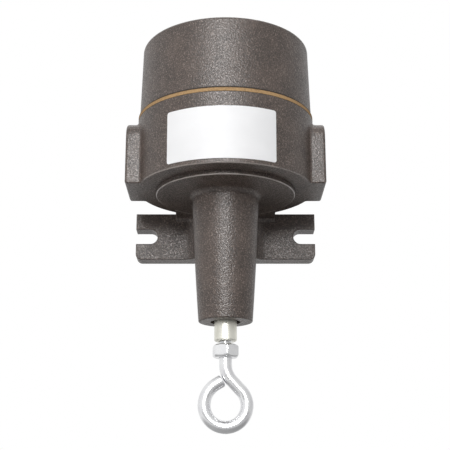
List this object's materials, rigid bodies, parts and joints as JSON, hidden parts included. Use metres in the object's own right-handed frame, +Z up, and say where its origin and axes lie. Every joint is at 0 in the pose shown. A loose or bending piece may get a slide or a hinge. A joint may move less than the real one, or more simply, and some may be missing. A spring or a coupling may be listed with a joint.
{
  "type": "rope pull switch",
  "caption": "Round cast switch housing on a bracket whose hollow neck guides a spring-returned pull rod with an eye bolt for a rope.",
  "frame": {"origin": "centre of the mounting foot's back face, midway between its two open slots", "axes": "+Y points out of the foot's back face into the wall, +X is to the right as seen from the front, +Z is up, from the eye bolt to the cover"},
  "size_m": [0.109, 0.1013, 0.215],
  "materials": {
    "cast_housing": "dark warm grey speckled coat over sand-cast metal",
    "gasket_fibre": "tan compressed fibre",
    "seal_rubber": "matt black",
    "zinc_steel": "bright zinc plate",
    "rod_steel": "turned and zinc plated",
    "screw_steel": "plated",
    "spring_steel": "oiled",
    "bronze": "sintered",
    "black_moulding": "moulded phenolic",
    "contact_brass": "stamped",
    "contact_silver": "fine silver",
    "ground_green": "green dyed plate",
    "label_white": "white film"
  },
  "bodies": {
    "housing": {"neck_bracket": "cast_housing", "housing_body": "cast_housing", "housing_cover": "cast_housing", "cover_gasket": "gasket_fibre", "flange_gasket": "seal_rubber", "cover_screws": "screw_steel", "flange_screws": "screw_steel", "neck_bushing": "bronze", "rod_wiper": "seal_rubber", "floor_bushing": "bronze", "return_spring": "spring_steel", "contact_base": "black_moulding", "base_screws": "screw_steel", "fixed_contacts": "contact_brass", "fixed_contact_tips": "contact_silver", "terminal_clamps": "contact_brass", "terminal_screws": "screw_steel", "ground_screw": "ground_green", "rating_label": "label_white"},
    "rod": {"pull_rod": "rod_steel", "spring_collar": "screw_steel", "collar_pin": "spring_steel", "jam_nut": "zinc_steel", "eye_bolt": "zinc_steel", "contact_carrier": "black_moulding", "contact_spring": "spring_steel", "carrier_washer": "screw_steel", "carrier_nut": "screw_steel"},
    "bridge": {"contact_bridge": "contact_brass", "bridge_tips": "contact_silver"}
  },
  "joints": [
    {"name": "rope_pull", "type": "slide", "parent": "housing", "child": "rod", "axis": [0, 0, -1], "range_m": [0, 0.008], "stiffness_N_per_m": 4900, "springref_m": -0.005, "deforming": ["return_spring"]},
    {"name": "contact_overtravel", "type": "slide", "parent": "rod", "child": "bridge", "axis": [0, 0, 1], "range_m": [0, 0.0015], "stiffness_N_per_m": 1150, "springref_m": -0.003, "deforming": ["contact_spring"]}
  ]
}
